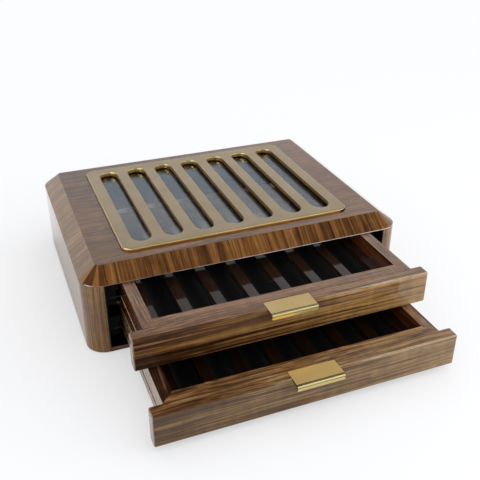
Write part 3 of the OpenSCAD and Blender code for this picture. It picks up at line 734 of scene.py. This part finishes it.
def drawer_front(side):
    """A drawer front as a profile carried along X. The profile is a rectangle with rounded
    corners, its ends shrink by TIP_ROUND (1 - sqrt(1 - s s)), where s falls from 1 to 0, and
    along the pull the corner in front of the pull's back edge is pushed down to the recess."""
    low, high = (np.array(v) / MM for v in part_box(f"{side}_front"))
    height, depth, r, back_r = high[2] - low[2], high[1] - low[1], FACE_ROUND, BACK_ROUND
    pull_low, pull_high = (np.array(v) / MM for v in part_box(f"{side}_pull"))
    arc = np.linspace(0, math.pi / 2, 6)
    step = pull_high[1] + LET
    notch = high[2] - PULL_T
    # profile in (y, z): up the face, over the top, down the back and along the underside
    face = np.array([[0, r], [0, height / 2], [0, height - PULL_T - 2 * HAIR]])
    over = np.column_stack([r - r * np.cos(arc), height - r + r * np.sin(arc)])
    upper = np.array([[step - low[1] - HAIR, height], [step - low[1], height]])
    behind = np.column_stack([depth - back_r + back_r * np.sin(arc),
                              height - back_r + back_r * np.cos(arc)])
    below = np.column_stack([depth - back_r + back_r * np.cos(arc),
                             back_r - back_r * np.sin(arc)])
    under = np.column_stack([r - r * np.sin(arc), r - r * np.cos(arc)])
    profile = np.vstack([face, over, upper, behind, below, under])
    profile = np.vstack([profile, profile[:1]])
    cols = len(profile)
    # along x: six steps round each end, and two places at each side of the recess
    t = np.linspace(0, 1, 7)
    inset = TIP_ROUND * (1 - np.sqrt(1 - (1 - t) ** 2))
    left, right = pull_low[0] - LET, pull_high[0] + LET
    x = np.concatenate([low[0] + TIP_ROUND * t, [left] * 2, [right] * 2,
                        (high[0] - TIP_ROUND * t)[::-1]])
    shrink = np.concatenate([inset, [0] * 4, inset[::-1]])
    notched = np.zeros(len(x), bool)
    notched[len(t) + 1 : len(t) + 3] = True
    middle = np.array([depth / 2, height / 2])
    half = np.array([depth, height]) / 2
    scale = 1 - shrink[:, None, None] / half
    yz = middle + (profile - middle) * scale
    y, z = yz[..., 0] + low[1], yz[..., 1] + low[2]
    cut = notched[:, None] & (z > notch) & (y < step - HAIR / 2)
    z = np.where(cut, notch, z)
    points = np.stack([np.broadcast_to(x[:, None], y.shape), y, z], -1)
    faces = [list(f) for f in grid_faces(len(x), cols)]
    faces.append(list(range(cols - 1)))
    faces.append([(len(x) - 1) * cols + i for i in range(cols - 1)])
    # the arris above the face, the top, and the ends as far as the middle of their rounding
    plain, arris_highlight, rim, end = range(4)
    finish = np.full((len(x) - 1, cols - 1), plain)
    arris = len(face) + len(over) - 1
    # the arris above the face takes the pale painted highlight
    finish[:, arris - len(over) + 1 : arris] = arris_highlight
    finish[:, arris : arris + len(upper) + 1] = rim
    finish[:3] = finish[-3:] = end
    make_piece(f"{side}_drawer_front", f"{side}_drawer", points, faces,
               [f"{side}_front", "arris", f"{side}_rim_x", "front_end"],
               np.append(finish, [end, end]), [f"{side}_front"], angle=32)


def drawer_pull(side):
    """A pull as a bent strip carried along X: its flat top, a scored line, the bead on the bend
    and the lip that hangs down, then back along the inside of the strip."""
    low, high = (np.array(v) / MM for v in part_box(f"{side}_pull"))
    front, back, top = low[1], high[1], high[2]
    bend = np.linspace(0, math.pi / 2, 7)
    r, inner_r = BEND_OUT, BEND_IN
    line, score = front + BEAD_W, top - BEAD_W
    bead = np.column_stack([front + r - r * np.sin(bend), top - r + r * np.cos(bend)])
    inner = np.column_stack([front + PULL_T + inner_r - inner_r * np.cos(bend),
                             top - PULL_T - inner_r + inner_r * np.sin(bend)])
    profile = np.vstack([
        [[back, top], [line + LINE_W, top], [line + LINE_W, top - LINE_T], [line, top - LINE_T],
         [line, top]],
        bead,
        [[front, score], [front + LINE_T, score], [front + LINE_T, score - LINE_W],
         [front, score - LINE_W], [front, top - LIP_H], [front + PULL_T, top - LIP_H]],
        inner,
        [[back, top - PULL_T]],
    ])
    profile = np.vstack([profile, profile[:1]])
    x = np.array([low[0], high[0]])
    points = np.stack(np.broadcast_arrays(x[:, None], profile[:, 0], profile[:, 1]), -1)
    cols = len(profile)
    faces = [list(f) for f in grid_faces(2, cols)]
    faces += [list(range(cols - 1)), [cols + i for i in range(cols - 1)]]
    points = points.reshape(-1, 3)
    # two round studs under the part of the pull that lies in the drawer front
    turn = np.linspace(0, 2 * math.pi, STUD_STEPS + 1)
    middle = (back + front + PULL_OUT) / 2
    for x0 in (-STUD_SPAN / 2, STUD_SPAN / 2):
        rim = np.column_stack([x0 + STUD_R * np.cos(turn), middle + STUD_R * np.sin(turn)])
        levels = [top - PULL_T / 2, top - PULL_T - STUD_LEN]
        stud = np.vstack([np.column_stack([rim, np.full(len(rim), z)]) for z in levels])
        first, second = len(points), len(points) + len(rim)
        points = np.vstack([points, stud])
        faces += [list(first + f) for f in grid_faces(2, len(rim))]
        faces += [list(range(start, start + STUD_STEPS)) for start in (first, second)]
    # strip by strip: the line behind the bead, the bead, the line below it, and the lip
    sheet, bright, lip, dull, dark = range(5)
    finish = np.full(len(faces), sheet)
    finish[1:4] = finish[12:15] = dull
    finish[4:12] = bright
    finish[15] = lip
    # of the two cut ends, the left one is painted near black, painted shade under the plate's end
    finish[cols - 1 : cols + 1] = dark, dull
    # the lower pull takes its copy that mirrors less, painted light against the shade over it
    make_piece(f"{side}_pull_brass", f"{side}_drawer", points, faces,
               ["pull" if side == "upper" else "lower_pull_painted_light", "bead", "lip", "score",
                "foot_painted_shade"],
               finish, [f"{side}_pull"], angle=50, round_mm=0.1)


top_board()
window_plate()
for side in ("upper", "lower"):
    drawer_front(side)
    drawer_pull(side)
    body = f"{side}_drawer"
    for part, run in (("front", "x"), ("back", "x"), ("left", "y"), ("right", "y")):
        # painted light: upper groove shoulders a cream painted highlight, upper outsides dark as
        # painted shade
        soften(f"{side}_box_{part}", f"{side}_wall_{part}", body, f"wall_{run}", round_mm=0.5,
               upper=f"{side}_rim_{run}", shelf="shoulder" if side == "upper" else "wall_y",
               outside="outside" if side == "lower" else "wall_y")
    # the lower drawer's lands take the darker copy, painted shade
    soften(f"{side}_lands", f"{side}_trough_lands", body, f"{side}_land", round_mm=0.6)
    paint(f"{side}_bottom", "wall_x")
    paint(f"{side}_trough_linings", "suede")
    paint(f"{side}_front_screws", "steel")
    paint(f"{side}_stop_pins", "pin")
for part in ("left", "right"):
    soften(f"case_side_{part}", f"side_board_{part}", "case", "post", round_mm=0.5)
    paint(f"side_lining_{part}", "lining")
soften("case_back", "back_board", "case", "back", round_mm=0.3)
soften("case_base", "bottom_board", "case", "base", round_mm=0.3, upper="lining")
for node, finish in (
    ("base_felt", "felt"), ("back_lining", "lining"), ("window_glass", "glass"),
    ("upper_battens", "batten"), ("lower_battens", "batten"), ("stop_blocks", "batten"),
    ("upper_runners", "runner"), ("lower_runners", "runner"), ("batten_screws", "steel"),
    ("plate_screws", "steel"), ("base_screws", "steel"), ("closing_bumpers", "rubber"),
    ("back_dowels", "beech"), ("top_dowels", "beech"),
):
    paint(node, finish)


# Floor, light and camera


# The light from all round, how much more comes from the brighter part of the tent, and the way
# there. The two lamp boxes are given by the way there and their strength, and the floor by how
# far it reaches from the middle, in metres.
FILL, KEY = 0.84, 0.6
KEY_WAY = (0.55, -0.46, 0.70)
BOXES = (((-0.783, -0.251, 0.569), 16.0), ((0.50, -0.62, 0.60), 3.5))
FLOOR_REACH = 9
# The view: where the camera stands in metres, its turn in radians, its focal length and the
# picture's width in pixels, and its film's width in mm
CAMERA_PLACE = (-0.20166, -0.59461, 0.37982)
YAW, PITCH_DOWN = -0.3752, -0.5166
FOCAL_PX, PICTURE_PX, FILM_W = 692.30, 480, 36


def floor():
    """A wide white sheet that the case stands on. The camera sees it half as bright paper that
    shows no shadow, so the shadow stays faint."""
    material, tree, shader = surface("white_floor")
    shader.inputs["Base Color"].default_value = srgb("#f9fafc")
    shader.inputs["Roughness"].default_value = 0.9
    shader.inputs["Specular IOR Level"].default_value = 0.0
    seen = add(tree, "ShaderNodeLightPath").outputs["Is Camera Ray"]
    share = add(tree, "ShaderNodeMath", {0: seen, 1: 0.5}, operation="MULTIPLY").outputs[0]
    paper = add(tree, "ShaderNodeEmission", {"Color": srgb("#fafbfd")}).outputs[0]
    mix = add(tree, "ShaderNodeMixShader", {0: share, 1: shader.outputs[0], 2: paper}).outputs[0]
    tree.links.new(mix, tree.nodes["Material Output"].inputs["Surface"])
    mesh = bpy.data.meshes.new("floor")
    corners = [(-1, -1, 0), (1, -1, 0), (1, 1, 0), (-1, 1, 0)]
    mesh.from_pydata([Vector(c) * FLOOR_REACH for c in corners], [], [(0, 1, 2, 3)])
    mesh.materials.append(material)
    sheet = bpy.data.objects.new("floor", mesh)
    bpy.context.scene.collection.objects.link(sheet)


def world():
    """A white tent: soft light from all round, brighter from the front right and above. What
    shines mirrors a white wall of cloth up to a height, the dark room overhead, and two bright
    lamp boxes that the arrises catch, one on the left and one at the front right."""
    made = bpy.data.worlds.new("studio")
    bpy.context.scene.world = made
    made.use_nodes = True
    tree = made.node_tree
    tree.nodes.clear()
    path = add(tree, "ShaderNodeLightPath").outputs
    way = add(tree, "ShaderNodeTexCoord").outputs["Generated"]
    toward = add(tree, "ShaderNodeVectorMath", {0: way, 1: KEY_WAY}, operation="DOT_PRODUCT")
    strength = add(tree, "ShaderNodeMapRange", {
        "Value": toward.outputs["Value"], "From Min": 0.5, "From Max": 0.95,
        "To Min": FILL, "To Max": FILL + KEY,
    }, interpolation_type="SMOOTHSTEP").outputs[0]
    lit = add(tree, "ShaderNodeBackground", {"Color": srgb("#ffffff"), "Strength": strength})
    height = add(tree, "ShaderNodeSeparateXYZ", {"Vector": way}).outputs["Z"]
    cloth = add(tree, "ShaderNodeValToRGB", {"Fac": height}, stops=[
        (0.1, "#ffffff"), (0.42, "#dde8f2"), (0.46, "#fcfdff"), (0.56, "#e6ebef"),
        (0.67, "#17181a"),
    ]).outputs[0]
    glow = 1.0
    for box_way, box_strength in BOXES:
        near = add(tree, "ShaderNodeVectorMath", {0: way, 1: box_way}, operation="DOT_PRODUCT")
        more = add(tree, "ShaderNodeMapRange", {
            "Value": near.outputs["Value"], "From Min": 0.90, "From Max": 0.955, "To Min": 0.0,
            "To Max": box_strength,
        }, interpolation_type="SMOOTHSTEP").outputs[0]
        glow = add(tree, "ShaderNodeMath", {0: glow, 1: more}, operation="ADD").outputs[0]
    mirrored = add(tree, "ShaderNodeBackground", {"Color": cloth, "Strength": glow}).outputs[0]
    shines = add(tree, "ShaderNodeMath", {0: path["Is Glossy Ray"], 1: path["Is Transmission Ray"]},
                 operation="MAXIMUM").outputs[0]
    mix = add(tree, "ShaderNodeMixShader", {0: shines, 1: lit.outputs[0], 2: mirrored}).outputs[0]
    add(tree, "ShaderNodeOutputWorld", {"Surface": mix})


def lamp(name, place, aim, size, power):
    """A soft round lamp at a place, turned to the point it lights. Its size is in metres and its
    power in watts."""
    data = bpy.data.lights.new(name, "AREA")
    data.shape, data.size = "DISK", size
    data.energy = power
    lit = bpy.data.objects.new(name, data)
    bpy.context.scene.collection.objects.link(lit)
    lit.location = place
    lit.rotation_mode = "QUATERNION"
    lit.rotation_quaternion = (Vector(aim) - Vector(place)).to_track_quat("-Z", "Y")


def camera():
    """The photograph's point of view."""
    data = bpy.data.cameras.new("camera")
    data.sensor_width = FILM_W
    data.lens = FOCAL_PX / PICTURE_PX * FILM_W
    data.clip_start, data.clip_end = 0.01, 50
    seen = bpy.data.objects.new("camera", data)
    bpy.context.scene.collection.objects.link(seen)
    seen.location = CAMERA_PLACE
    seen.rotation_euler = (math.pi / 2 + PITCH_DOWN, 0, YAW)
    bpy.context.scene.camera = seen


floor()
world()
lamp("low_side_lamp", place=(0.75, -0.62, 0.34), aim=(0.05, -0.2, 0.04), size=0.5, power=1.4)
camera()
bpy.context.scene.view_settings.view_transform = "Standard"
